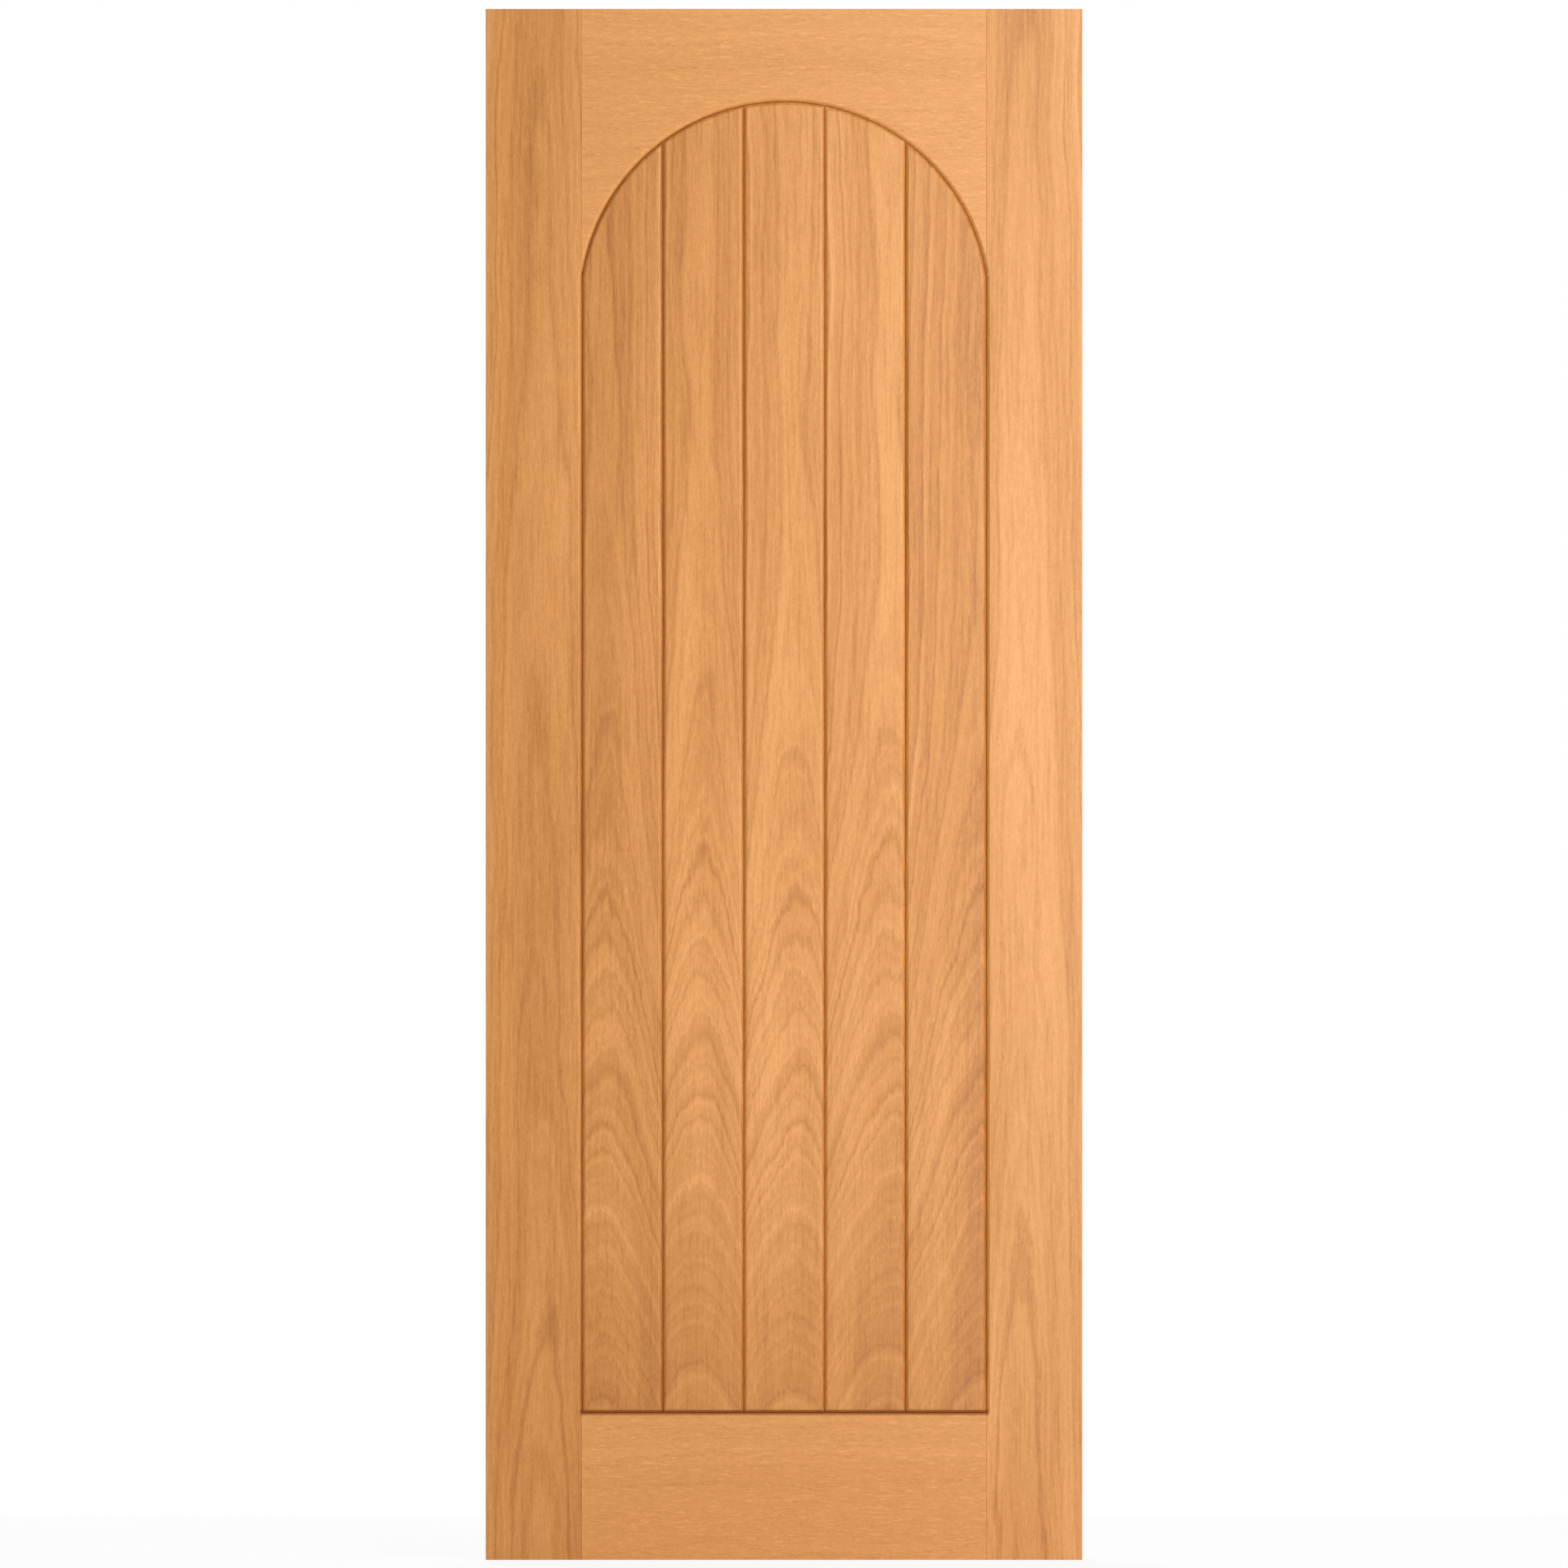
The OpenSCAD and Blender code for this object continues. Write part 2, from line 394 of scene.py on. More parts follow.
def make_stile(name, side):
    """Full-height upright, grooved along its inner edge; side is -1 for the hanging stile."""
    mesh = bmesh.new()
    half_groove = PANEL_GROOVE / 2
    depth = HALF_W + PANEL_GROOVE
    section = [
        (STILE_X, -FACE_Y), (HALF_W, -FACE_Y), (HALF_W, -half_groove), (depth, -half_groove),
        (depth, half_groove), (HALF_W, half_groove), (HALF_W, FACE_Y), (STILE_X, FACE_Y),
    ]
    end = mesh.faces.new([mesh.verts.new((side * x, y, 0)) for x, y in section])
    grown = bmesh.ops.extrude_face_region(mesh, geom=[end])
    top = [part for part in grown["geom"] if isinstance(part, bmesh.types.BMVert)]
    bmesh.ops.translate(mesh, verts=top, vec=(0, 0, LEAF_H))
    bmesh.ops.recalc_face_normals(mesh, faces=mesh.faces[:])
    foot = BOTTOM_RAIL_H + RIM_GAP / 2
    marks = [foot - VEE_LEG * share for share in FOOT_SHARES]
    marks += [VEE_BEND_Z + VEE_RUN_OUT * share for share in ARCH_SHARES]
    for height in marks:
        score(mesh, (0, 0, height), (0, 0, 1))

    # The chamfer starts as a narrow one all the way and is then widened to the V
    long_edges = [
        edge for edge in face_edges(mesh, at_joint)
        if abs(edge.verts[0].co.z - edge.verts[1].co.z) > NEAR
    ]
    plane_off(mesh, long_edges, JOINT_ARRIS)
    for vert in mesh.verts:
        grow = vee_leg_at(vert.co.z) - JOINT_ARRIS
        on_face = abs(abs(vert.co.y) - FACE_Y) < NEAR
        on_edge = abs(abs(vert.co.y) - FACE_Y + JOINT_ARRIS) < NEAR
        if on_face and abs(abs(vert.co.x) - HALF_W - JOINT_ARRIS) < NEAR:
            vert.co.x += side * grow
        elif on_edge and at_joint(vert.co):
            vert.co.y -= math.copysign(grow, vert.co.y)

    def on_lip(middle):
        return abs(abs(middle.x) - HALF_W - VEE_LEG) < NEAR and foot < middle.z < VEE_BEND_Z

    plane_off(mesh, face_edges(mesh, on_lip), VEE_ARRIS, VEE_FLATS)
    plane_off(mesh, outer_edges(mesh), ARRIS, ARRIS_FLATS)
    return hand_over(mesh, "oak_" + name, name)


# Node building
def feed(tree, socket, source):
    """Sets a socket to a plain value or links it to another node."""
    if isinstance(source, bpy.types.NodeSocket):
        tree.links.new(source, socket)
    else:
        socket.default_value = source


def sums(tree, operation, first, second=0.0, third=0.0):
    """One line of arithmetic on numbers."""
    node = tree.nodes.new("ShaderNodeMath")
    node.operation = operation
    for socket, source in zip(node.inputs, (first, second, third)):
        feed(tree, socket, source)
    return node.outputs[0]


def vectors(tree, operation, first, second=(0.0, 0.0, 0.0), third=(0.0, 0.0, 0.0)):
    """One line of arithmetic on vectors."""
    node = tree.nodes.new("ShaderNodeVectorMath")
    node.operation = operation
    for socket, source in zip(node.inputs, (first, second, third)):
        feed(tree, socket, source)
    return node.outputs["Value"] if operation == "LENGTH" else node.outputs[0]


def streaks(tree, place, per_metre, detail):
    """Noise with its own scale across, through and along the grain, from 0 to 1."""
    node = tree.nodes.new("ShaderNodeTexNoise")
    feed(tree, node.inputs["Vector"], vectors(tree, "MULTIPLY", place, per_metre))
    node.inputs["Scale"].default_value = 1.0
    node.inputs["Detail"].default_value = detail
    return node.outputs[0]


def ring_noise(tree, rings, per_ring, detail):
    """Noise that runs with the growth rings, from 0 to 1."""
    node = tree.nodes.new("ShaderNodeTexNoise")
    node.noise_dimensions = "1D"
    feed(tree, node.inputs["W"], sums(tree, "MULTIPLY", rings, per_ring))
    node.inputs["Scale"].default_value = 1.0
    node.inputs["Detail"].default_value = detail
    return node.outputs[0]


def add_noise(tree, noise, strength, total):
    """Adds noise to a total, centred on zero and as strong as given."""
    return sums(tree, "MULTIPLY_ADD", sums(tree, "SUBTRACT", noise, 0.5), strength, total)


def blend_range(tree, value, from_low, from_high, to_low=0.0, to_high=1.0):
    """Moves a value smoothly from one range to another and holds it at the ends."""
    node = tree.nodes.new("ShaderNodeMapRange")
    node.interpolation_type = "SMOOTHSTEP"
    for socket, source in zip(node.inputs, (value, from_low, from_high, to_low, to_high)):
        feed(tree, socket, source)
    return node.outputs[0]


def blend_by(tree, share, none, full):
    """Moves smoothly from one number to another as a share goes from 0 to 1."""
    return blend_range(tree, share, 0.0, 1.0, none, full)


def colour_ramp(tree, value, stops):
    """Runs a value through colours at given positions."""
    node = tree.nodes.new("ShaderNodeValToRGB")
    feed(tree, node.inputs[0], value)
    points = node.color_ramp.elements
    while len(points) < len(stops):
        points.new(1.0)
    for point, (position, colour) in zip(points, stops):
        point.position = position
        point.color = (*colour, 1.0)
    return node.outputs[0]


def mix_in(tree, share, colour, other):
    """Mixes a share of one plain colour into another."""
    node = tree.nodes.new("ShaderNodeMix")
    node.data_type = "RGBA"
    feed(tree, node.inputs["Factor"], share)
    feed(tree, node.inputs["A"], colour)
    feed(tree, node.inputs["B"], (*other, 1.0))
    return node.outputs["Result"]


def add_relief(tree, skin, height, strength, distance):
    """Gives a surface fine relief from a height."""
    bump = tree.nodes.new("ShaderNodeBump")
    bump.inputs["Strength"].default_value = strength
    bump.inputs["Distance"].default_value = distance
    feed(tree, bump.inputs["Height"], height)
    feed(tree, skin.inputs["Normal"], bump.outputs[0])


def srgb(red, green, blue):
    """Colour as it is read off a picture, from 0 to 255, in linear light."""
    linear = []
    for level in (red, green, blue):
        share = level / 255
        linear.append(share / 12.92 if share <= 0.04045 else ((share + 0.055) / 1.055) ** 2.4)
    return tuple(linear)


# Colours of the wood, from dark to light
OAK_TONES = [
    (0.0, srgb(166, 95, 31)),
    (0.35, srgb(199, 128, 56)),
    (0.6, srgb(218, 147, 73)),
    (1.0, srgb(243, 173, 102)),
]
PORE_BROWN = srgb(140, 80, 32)
# Brown of the painted shade deep in the grooves and joints
GROOVE_SHADE_BROWN = srgb(150, 86, 34)
BEECH_TONES = [(0.3, srgb(202, 163, 122)), (0.7, srgb(228, 194, 154))]
BEECH_FLECK = srgb(160, 112, 74)

# Oak: how often each noise repeats in a metre, across, through and along the grain
FINE_FIBRES = (430.0, 430.0, 50.0)
SPECKS = (520.0, 520.0, 230.0)
COARSE_FIBRES = (230.0, 230.0, 8.0)
BROAD_BANDS = (15.0, 15.0, 1.2)
PITH_BENDS = (5.0, 5.0, 2.3)
RING_LUMPS = (11.0, 11.0, 2.4)
RING_RIPPLES = (64.0, 64.0, 20.0)
PORE_DASHES = (950.0, 950.0, 110.0)
RAYS = (330.0, 330.0, 60.0)

# Oak: growth rings, with lengths in metres
RING_WIDTH = 0.007
PITH_SWAY = 0.02
FOOT_SOFTNESS = 0.32
HEAD_SOFTNESS = 0.15
CLOSING_RINGS = 3.0
STEEP_SLOPES = (0.02, 0.1)
FADE_LENGTHS = (0.3, 0.65)
LINES_PER_RING = 3.0
RUNS_PER_RING = 0.6
FIRST_YEAR = 23449.0

# Oak: middle of the tones, and how far each mark goes from it
MIDDLE_TONE = 0.62
EARLY_TONE = -0.28
LATE_TONE = 0.05
RUN_TONE = 0.5
# Darker at the foot: partly the wood's tone, partly painted shade towards the bottom
FOOT_TONE_AND_SHADE = -0.11
FINE_TONE = 0.4
SPECK_TONE = 0.3
BROAD_TONE = 0.8
FLECK_TONE = 0.16


def soft_length(tree, past, softness):
    """Length past a height, rounded off round that height."""
    square = sums(tree, "MULTIPLY", past, past)
    return sums(tree, "SQRT", sums(tree, "ADD", square, softness * softness))


def bow(tree, past, taper, softness):
    """Rise of the growth rings past a height, none before it and a steady taper after it."""
    twice = sums(tree, "ADD", past, soft_length(tree, past, softness))
    return sums(tree, "MULTIPLY", twice, sums(tree, "MULTIPLY", taper, 0.5))


def bow_slope(tree, past, taper, softness):
    """Slope of that rise, none before the height and the whole taper after it."""
    half_taper = sums(tree, "MULTIPLY", taper, 0.5)
    turn = sums(tree, "DIVIDE", past, soft_length(tree, past, softness))
    return sums(tree, "MULTIPLY_ADD", turn, half_taper, half_taper)


def oak_figure():
    """Growth rings, pores and fibres of plain-sawn oak, cut from a log whose pith lies behind the face.
    Place is across, through and along the grain in metres, counted from the pith."""
    tree = bpy.data.node_groups.new("oak_figure", "ShaderNodeTree")
    tree.interface.new_socket(name="Place", in_out="INPUT", socket_type="NodeSocketVector")
    for name in (
        "Log", "Foot taper", "Foot start", "Head taper", "Head start", "Wander", "Figure", "Bands", "Flecks",
    ):
        tree.interface.new_socket(name=name, in_out="INPUT", socket_type="NodeSocketFloat")
    for name in ("Tone", "Pores", "Relief"):
        tree.interface.new_socket(name=name, in_out="OUTPUT", socket_type="NodeSocketFloat")
    given = tree.nodes.new("NodeGroupInput").outputs
    made = tree.nodes.new("NodeGroupOutput").inputs

    # Each log has its own knots and fibres, so its noise starts from its own place
    shift = tree.nodes.new("ShaderNodeCombineXYZ")
    feed(tree, shift.inputs[1], given["Log"])
    own = vectors(tree, "ADD", given["Place"], shift.outputs[0])

    # Long fibres, fine and coarse, short specks between them and broad bands of them
    fine = streaks(tree, own, FINE_FIBRES, 3.0)
    specks = streaks(tree, own, SPECKS, 1.0)
    coarse = streaks(tree, own, COARSE_FIBRES, 2.0)
    broad = streaks(tree, own, BROAD_BANDS, 2.0)
    fibre = sums(tree, "ADD", sums(tree, "MULTIPLY", fine, 0.5), sums(tree, "MULTIPLY", coarse, 0.5))

    # The pith wanders along the log
    bend = streaks(tree, own, PITH_BENDS, 2.0).node.outputs["Color"]
    sway = vectors(tree, "SUBTRACT", bend, (0.5, 0.5, 0.5))
    swayed = vectors(tree, "MULTIPLY_ADD", sway, (PITH_SWAY, 0.0, 0.0), given["Place"])
    from_pith = vectors(tree, "LENGTH", vectors(tree, "MULTIPLY", swayed, (1.0, 1.0, 0.0)))

    # Height along the grain bows the rings into arches, which close up towards the foot
    split = tree.nodes.new("ShaderNodeSeparateXYZ")
    feed(tree, split.inputs[0], given["Place"])
    along = split.outputs[2]
    past_foot = sums(tree, "SUBTRACT", given["Foot start"], along)
    past_head = sums(tree, "SUBTRACT", along, given["Head start"])
    foot = bow(tree, past_foot, given["Foot taper"], FOOT_SOFTNESS)
    foot = sums(tree, "MULTIPLY", foot, sums(tree, "MULTIPLY_ADD", foot, CLOSING_RINGS, 1.0))
    head = bow(tree, past_head, given["Head taper"], HEAD_SOFTNESS)
    slope = bow_slope(tree, past_foot, given["Foot taper"], FOOT_SOFTNESS)
    steep = blend_range(tree, slope, *STEEP_SLOPES)

    # Rings, uneven in width, with rippled and feathered edges
    radius = sums(tree, "SUBTRACT", sums(tree, "SUBTRACT", from_pith, foot), head)
    rings = sums(tree, "DIVIDE", radius, RING_WIDTH)
    rings = add_noise(tree, streaks(tree, own, RING_LUMPS, 2.0), given["Wander"], rings)
    rings = add_noise(tree, streaks(tree, own, RING_RIPPLES, 2.0), blend_by(tree, steep, 0.5, 0.8), rings)
    rings = add_noise(tree, fibre, blend_by(tree, steep, 0.4, 0.9), rings)
    in_ring = sums(tree, "FRACT", rings)
    year = sums(tree, "ADD", sums(tree, "FLOOR", rings), FIRST_YEAR)

    # Early wood is dark at the start of each ring, and darker in some years than in others
    weather = tree.nodes.new("ShaderNodeTexWhiteNoise")
    weather.noise_dimensions = "1D"
    feed(tree, weather.inputs["W"], year)
    strength = blend_range(tree, weather.outputs["Value"], 0.1, 0.9, 0.2, 1.0)
    band = sums(tree, "MULTIPLY", blend_range(tree, in_ring, 0.15, 0.55, 1.0, 0.0), 0.6)
    tail = sums(tree, "MULTIPLY", blend_range(tree, in_ring, 0.2, 0.9, 1.0, 0.0), 0.4)
    early = sums(tree, "MULTIPLY", blend_range(tree, in_ring, 0.0, 0.3), sums(tree, "ADD", band, tail))
    early = sums(tree, "MULTIPLY", early, strength)

    # Pores are short dark dashes, thick in the early wood and thin elsewhere
    crowd = blend_range(tree, early, 0.0, 0.7, 0.16, 1.0)
    dashes = blend_range(tree, streaks(tree, own, PORE_DASHES, 1.0), 0.57, 0.72)
    pores = sums(tree, "MULTIPLY", dashes, crowd)

    # Flecks are the short bright rays that show on wood cut near the pith
    rays = blend_range(tree, streaks(tree, own, RAYS, 2.0), 0.55, 0.7)
    flecks = sums(tree, "MULTIPLY", rays, given["Flecks"])

    # Fine lines inside the rings follow the same arches
    lines = sums(tree, "SUBTRACT", ring_noise(tree, rings, LINES_PER_RING, 3.0), 0.5)
    lines = sums(tree, "MULTIPLY", lines, blend_by(tree, steep, 0.33, 0.45))

    # The figure fades in the arches, most of all at the foot, which is a little darker as a whole: partly
    # the wood's tone, partly painted shade that darkens the boards towards the bottom
    figure = sums(tree, "MULTIPLY_ADD", early, EARLY_TONE, sums(tree, "ADD", lines, LATE_TONE))
    faded = sums(tree, "MULTIPLY", blend_range(tree, past_foot, *FADE_LENGTHS), steep)
    figure = sums(tree, "MULTIPLY", figure, blend_by(tree, steep, 1.0, 0.88))
    figure = sums(tree, "MULTIPLY", figure, blend_by(tree, faded, 1.0, 0.6))
    figure = add_noise(tree, ring_noise(tree, rings, RUNS_PER_RING, 1.0), RUN_TONE, figure)
    figure = sums(tree, "MULTIPLY_ADD", faded, FOOT_TONE_AND_SHADE, figure)

    # Tone is the figure and the fibres together
    tone = sums(tree, "MULTIPLY_ADD", figure, given["Figure"], MIDDLE_TONE)
    tone = add_noise(tree, fine, FINE_TONE, tone)
    tone = add_noise(tree, specks, SPECK_TONE, tone)
    dark_lines = blend_range(tree, coarse, 0.5, 0.66)
    bands = sums(tree, "MULTIPLY", dark_lines, blend_by(tree, steep, -0.14, -0.1))
    bands = add_noise(tree, broad, BROAD_TONE, bands)
    tone = sums(tree, "MULTIPLY_ADD", bands, given["Bands"], tone)
    tone = sums(tree, "MULTIPLY_ADD", flecks, FLECK_TONE, tone)
    feed(tree, made["Tone"], tone)
    feed(tree, made["Pores"], pores)
    relief = sums(tree, "MULTIPLY_ADD", pores, -0.7, sums(tree, "MULTIPLY", fibre, 0.5))
    feed(tree, made["Relief"], sums(tree, "MULTIPLY_ADD", early, -0.15, relief))
    return tree


# Painted groove shade and rubbed lips: margin at the outer edges that both leave out, and depths below the
# face, in metres
EDGE_MARGIN = 0.01
SHALLOW = (0.0002, 0.0010)
DEEP = (0.0016, 0.0036)
LIP_START = (0.00001, 0.0002)
LIP_END = (0.0004, 0.0010)
TORN_START = (0.0, 0.001)
TORN_DEPTH = 0.004
TORN_FIBRES = (620.0, 620.0, 420.0)

# Painted shade in the grooves: heights over which the painted shade along the foot ends, and how strong each
# painted shade is
FOOT_SHADE_END = (BOTTOM_RAIL_H + 0.003, BOTTOM_RAIL_H + 0.005)
FOOT_SHADE = 0.9
DEEP_SHADE = 0.75
SHADE_SHARE = 0.6
PORE_SHARE = 0.3

# Lacquer: roughness of the plain skin, and what pores, rubbed lips and the grooves under painted shade add
# to it
LACQUER_ROUGHNESS = 0.35
PORE_ROUGHNESS = 0.12
RUBBED_ROUGHNESS = 0.15
GROOVE_SHADE_ROUGHNESS = 0.12


def painted_groove_shade(tree, place):
    """Share of painted shade below the faces, darker with depth in the V grooves and the joints,
    and share of the wood that the sander has rubbed matt just inside their edges."""
    split = tree.nodes.new("ShaderNodeSeparateXYZ")
    feed(tree, split.inputs[0], place)
    across, through, height = split.outputs
    below = sums(tree, "SUBTRACT", FACE_Y, sums(tree, "ABSOLUTE", through))
    inside = sums(tree, "LESS_THAN", sums(tree, "ABSOLUTE", across), STILE_X - EDGE_MARGIN)
    inside = sums(tree, "MULTIPLY", inside, sums(tree, "GREATER_THAN", height, EDGE_MARGIN))
    inside = sums(tree, "MULTIPLY", inside, sums(tree, "LESS_THAN", height, LEAF_H - EDGE_MARGIN))

    # Torn fibres give the painted shade an uneven edge
    torn = blend_range(tree, below, *TORN_START, 0.0, TORN_DEPTH)
    depth = add_noise(tree, streaks(tree, place, TORN_FIBRES, 2.0), torn, below)

    # Painted shade: the groove along the foot is darkened from its lips down, and every groove deep down
    foot_shade_share = blend_range(tree, height, *FOOT_SHADE_END, FOOT_SHADE, 0.0)
    groove_shade = sums(tree, "MULTIPLY", blend_range(tree, depth, *SHALLOW), foot_shade_share)
    groove_shade = sums(tree, "MULTIPLY_ADD", blend_range(tree, depth, *DEEP), DEEP_SHADE, groove_shade)
    groove_shade = sums(tree, "MULTIPLY", groove_shade, inside)
    lip = blend_range(tree, below, *LIP_START)
    rubbed = sums(tree, "MULTIPLY", lip, blend_range(tree, below, *LIP_END, 1.0, 0.0))
    return groove_shade, sums(tree, "MULTIPLY", rubbed, inside)


def oak(name, figure, pith, turn, settings, shade):
    """Lacquered oak for one piece: the figure, darker pores, painted shade in the grooves and a satin skin.
    Pith and turn take the leaf's own place and direction to those in the log, and shade makes the
    whole piece lighter or darker, partly its own tone and partly painted light."""
    finish = bpy.data.materials.new(name)
    finish.use_nodes = True
    tree = finish.node_tree
    skin = tree.nodes["Principled BSDF"]
    place = tree.nodes.new("ShaderNodeTexCoord").outputs["Object"]
    mapping = tree.nodes.new("ShaderNodeMapping")
    feed(tree, mapping.inputs["Vector"], place)
    mapping.inputs["Location"].default_value = pith
    mapping.inputs["Rotation"].default_value = turn
    wood = tree.nodes.new("ShaderNodeGroup")
    wood.node_tree = figure
    feed(tree, wood.inputs["Place"], mapping.outputs[0])
    for setting, value in settings.items():
        wood.inputs[setting].default_value = value
    pores = wood.outputs["Pores"]
    groove_shade, rubbed = painted_groove_shade(tree, place)
    colour = colour_ramp(tree, sums(tree, "ADD", wood.outputs["Tone"], shade), OAK_TONES)
    colour = mix_in(tree, sums(tree, "MULTIPLY", pores, PORE_SHARE), colour, PORE_BROWN)
    # Painted shade darkens the grooves and joints, more with depth
    colour = mix_in(tree, sums(tree, "MULTIPLY", groove_shade, SHADE_SHARE), colour, GROOVE_SHADE_BROWN)
    feed(tree, skin.inputs["Base Color"], colour)
    rough = sums(tree, "MULTIPLY_ADD", pores, PORE_ROUGHNESS, LACQUER_ROUGHNESS)
    rough = sums(tree, "MULTIPLY_ADD", rubbed, RUBBED_ROUGHNESS, rough)
    rough = sums(tree, "MULTIPLY_ADD", groove_shade, GROOVE_SHADE_ROUGHNESS, rough)
    feed(tree, skin.inputs["Roughness"], rough)
    add_relief(tree, skin, wood.outputs["Relief"], strength=0.14, distance=0.0004)
    return finish


# Beech: how often each noise repeats in a metre, along a dowel and across it
BEECH_BANDS = (6.0, 260.0, 260.0)
BEECH_DASHES = (90.0, 1500.0, 1500.0)


def beech(name):
    """Plain beech of the dowels, with the fine brown flecks that it has along the grain."""
    finish = bpy.data.materials.new(name)
    finish.use_nodes = True
    tree = finish.node_tree
    skin = tree.nodes["Principled BSDF"]
    place = tree.nodes.new("ShaderNodeTexCoord").outputs["Object"]
    bands = streaks(tree, place, BEECH_BANDS, 3.0)
    dashes = blend_range(tree, streaks(tree, place, BEECH_DASHES, 1.0), 0.62, 0.72)
    colour = colour_ramp(tree, bands, BEECH_TONES)
    colour = mix_in(tree, sums(tree, "MULTIPLY", dashes, 0.5), colour, BEECH_FLECK)
    feed(tree, skin.inputs["Base Color"], colour)
    feed(tree, skin.inputs["Roughness"], sums(tree, "MULTIPLY_ADD", bands, 0.15, 0.6))
    add_relief(tree, skin, bands, strength=0.2, distance=0.0003)
    return finish


# Where in their logs the pieces were sawn: distance of the pith behind the middle of the leaf
PITH = 0.06 + FACE_Y
RAIL_PITH = 0.137 + FACE_Y
SLICE_STEP = 0.0011
LOG_STEP = 0.021
UPRIGHT = (0.0, 0.0, 0.0)
LYING = (0.0, math.radians(-90), 0.0)
plain_sawn = oak_figure()

# Boards: slices that follow each other in one log, so the arches step across the panel
board_settings = {
    "Foot taper": 0.18, "Head start": 1.6, "Wander": 3.0, "Figure": 1.0, "Bands": 1.0, "Flecks": 0.0,
}

# For each board: apex of its arches from its middle, where they start, taper at the head, and shade, which
# is partly the board's own tone and partly painted light
BOARD_CUTS = [
    (-0.026, 0.85, 0.0, -0.15),
    (-0.006, 0.9, 0.012, -0.04),
    (0.013, 0.87, 0.028, 0.07),
    (0.033, 0.93, 0.044, 0.04),
    (0.052, 0.89, 0.008, -0.08),
]
for number, (apex, foot_start, head_taper, shade) in enumerate(BOARD_CUTS, 1):
    board = make_board(number)
    pith = (-board_left(number) - BOARD_W / 2 - apex, PITH + SLICE_STEP * number, 0.0)
    settings = dict(board_settings, Log=LOG_STEP * number)
    settings["Foot start"] = foot_start
    settings["Head taper"] = head_taper
    finish = oak("lacquered_oak_" + BOARDS[number - 1], plain_sawn, pith, UPRIGHT, settings, shade)
    board.data.materials.append(finish)

# Stiles: nearly straight grain with long drawn-out arches
stile_settings = {
    "Foot taper": 0.018, "Foot start": 1.9, "Head taper": 0.0, "Head start": 2.0, "Wander": 3.5,
    "Figure": 0.85, "Bands": 0.9, "Flecks": 0.0,
}
# Shade is partly each stile's own tone and partly painted light: the lock stile on the right is made lighter
# where the light falls
for name, side, pith_x, log, shade in (
    ("hanging_stile", -1, 0.310, 1.7, -0.06),
    ("lock_stile", 1, -0.305, 3.1, 0.1),
):
    stile = make_stile(name, side)
    settings = dict(stile_settings, Log=log)
    finish = oak("lacquered_oak_" + name, plain_sawn, (pith_x, PITH, 0.0), UPRIGHT, settings, shade)
    stile.data.materials.append(finish)

# Rails: grain across the leaf, cut near the pith, so the short rays show
rail_settings = {
    "Foot taper": 0.004, "Foot start": 0.5, "Head taper": 0.0, "Head start": 2.0, "Wander": 5.0,
    "Figure": 0.2, "Bands": 0.24, "Flecks": 1.0,
}
# Shade is partly each rail's own tone and partly painted light that makes both rails lighter, the top one
# most
for name, make_rail, pith_x, log, shade in (
    ("top_rail", make_top_rail, 1.86, 5.3, 0.14),
    ("bottom_rail", make_bottom_rail, 0.05, 7.9, 0.11),
):
    rail = make_rail()
    settings = dict(rail_settings, Log=log)
    finish = oak("lacquered_oak_" + name, plain_sawn, (pith_x, RAIL_PITH, 0.0), LYING, settings, shade)
    rail.data.materials.append(finish)

# Dowels: the solids themselves, in beech
dowel_beech = beech("plain_beech")
for name in DOWELS:
    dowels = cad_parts[name]
    dowels.data.materials.clear()
    dowels.data.materials.append(dowel_beech)

# Floor, white surround, lights and camera
FLOOR_HALF = (4.0, 3.0, 1.0)
FLOOR_SHIFT = (0.0, -1.8, 0.0)
FLOOR_GLOW = 0.88
FILL = 0.22


def seen_directly(tree):
    """Is 1 for rays that the camera sees straight, in a reflection or through glass."""
    rays = tree.nodes.new("ShaderNodeLightPath").outputs
    seen = sums(tree, "MAXIMUM", rays["Is Camera Ray"], rays["Is Glossy Ray"])
    return sums(tree, "MAXIMUM", seen, rays["Is Transmission Ray"])


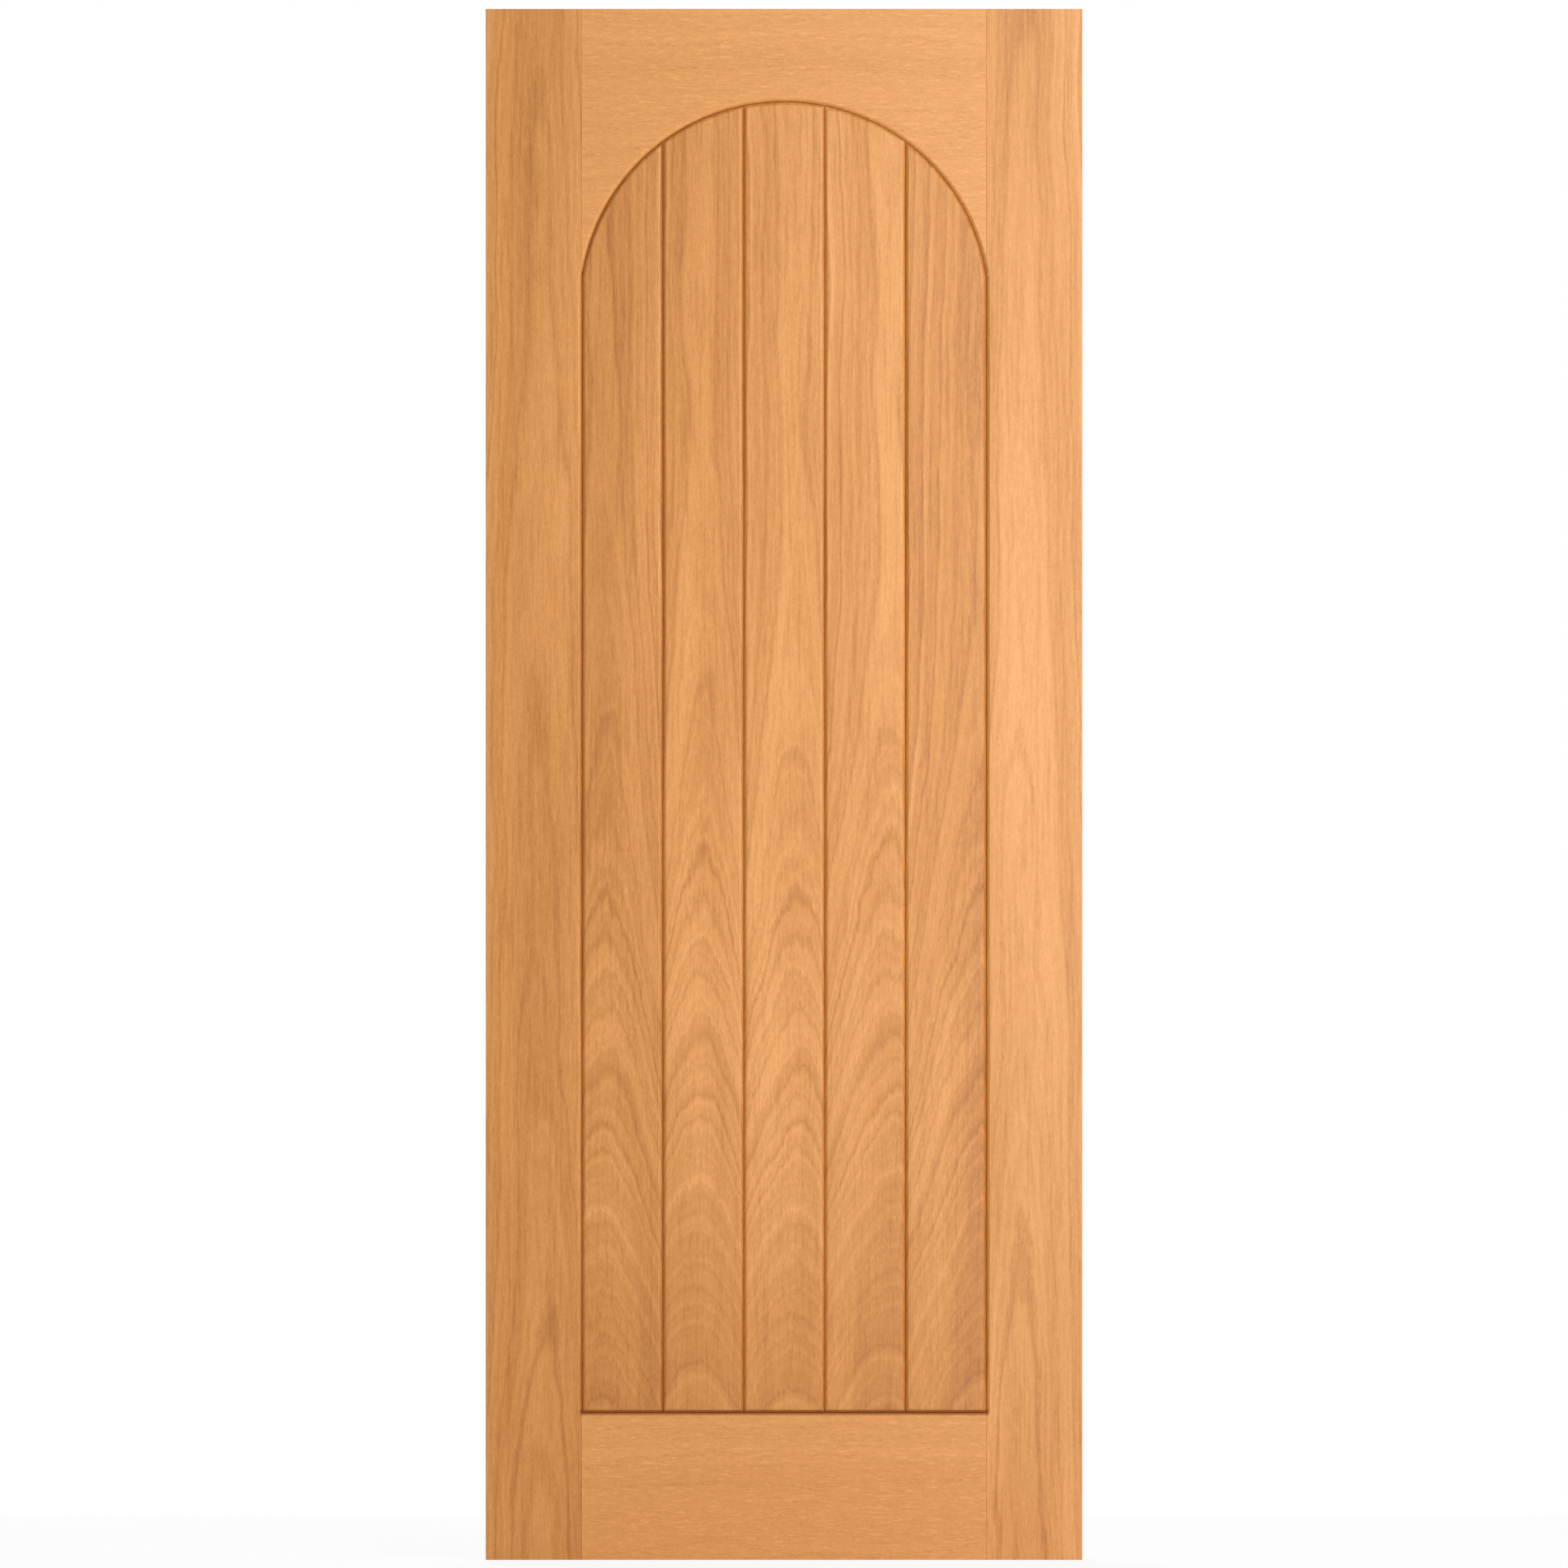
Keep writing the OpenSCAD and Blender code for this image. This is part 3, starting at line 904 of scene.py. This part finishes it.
def make_floor():
    """Pale floor that ends a little behind the leaf and keeps its shadow."""
    mesh = bmesh.new()
    bmesh.ops.create_grid(mesh, x_segments=1, y_segments=1, size=1.0)
    bmesh.ops.scale(mesh, verts=mesh.verts[:], vec=FLOOR_HALF)
    bmesh.ops.translate(mesh, verts=mesh.verts[:], vec=FLOOR_SHIFT)
    shape = bpy.data.meshes.new("studio_floor")
    mesh.to_mesh(shape)
    mesh.free()
    floor = bpy.data.objects.new("studio_floor", shape)
    bpy.context.scene.collection.objects.link(floor)
    paint = bpy.data.materials.new("pale_floor")
    paint.use_nodes = True
    tree = paint.node_tree
    tree.nodes.remove(tree.nodes["Principled BSDF"])
    matt = tree.nodes.new("ShaderNodeBsdfDiffuse")
    matt.inputs["Color"].default_value = (0.9, 0.9, 0.9, 1.0)
    glow = tree.nodes.new("ShaderNodeEmission")
    glow.inputs["Strength"].default_value = 1.0
    both = tree.nodes.new("ShaderNodeMixShader")
    feed(tree, both.inputs[0], sums(tree, "MULTIPLY", seen_directly(tree), FLOOR_GLOW))
    feed(tree, both.inputs[1], matt.outputs[0])
    feed(tree, both.inputs[2], glow.outputs[0])
    feed(tree, tree.nodes["Material Output"].inputs["Surface"], both.outputs[0])
    shape.materials.append(paint)


def make_surround():
    """White behind the leaf, and a soft grey light from all round."""
    surround = bpy.data.worlds.new("white_surround")
    bpy.context.scene.world = surround
    surround.use_nodes = True
    tree = surround.node_tree
    sky = tree.nodes["Background"]
    sky.inputs["Color"].default_value = (1.0, 1.0, 1.0, 1.0)
    feed(tree, sky.inputs["Strength"], sums(tree, "MULTIPLY_ADD", seen_directly(tree), 1.0 - FILL, FILL))


def add_softbox(name, place, aim, width, height, power):
    """Large soft lamp that faces a point."""
    lamp = bpy.data.lights.new(name, "AREA")
    lamp.shape = "RECTANGLE"
    lamp.size = width
    lamp.size_y = height
    lamp.energy = power
    holder = bpy.data.objects.new(name, lamp)
    holder.location = place
    holder.rotation_euler = (Vector(aim) - Vector(place)).to_track_quat("-Z", "Y").to_euler()
    bpy.context.scene.collection.objects.link(holder)


make_floor()
make_surround()
add_softbox("key_softbox", (2.2, -2.4, 2.1), aim=(0.1, 0.0, 1.2), width=0.8, height=2.4, power=51.0)
add_softbox("sheen_softbox", (0.7, -2.5, 1.3), aim=(0.1, 0.0, 1.05), width=0.7, height=2.8, power=26.0)
add_softbox("back_softbox", (-0.6, 2.6, 3.2), aim=(0.0, 0.2, 0.6), width=2.4, height=2.4, power=110.0)

# Straight-on view from far away, framed as the photograph is
camera = bpy.data.cameras.new("front_camera")
camera.sensor_fit = "HORIZONTAL"
camera.sensor_width = 36.0
camera.lens = 359.2
camera.clip_end = 100.0
viewpoint = bpy.data.objects.new("front_camera", camera)
viewpoint.location = (0.0, -20.0, 0.991)
viewpoint.rotation_euler = (math.radians(90), 0.0, 0.0)
bpy.context.scene.collection.objects.link(viewpoint)
bpy.context.scene.camera = viewpoint
bpy.context.scene.view_settings.view_transform = "Standard"
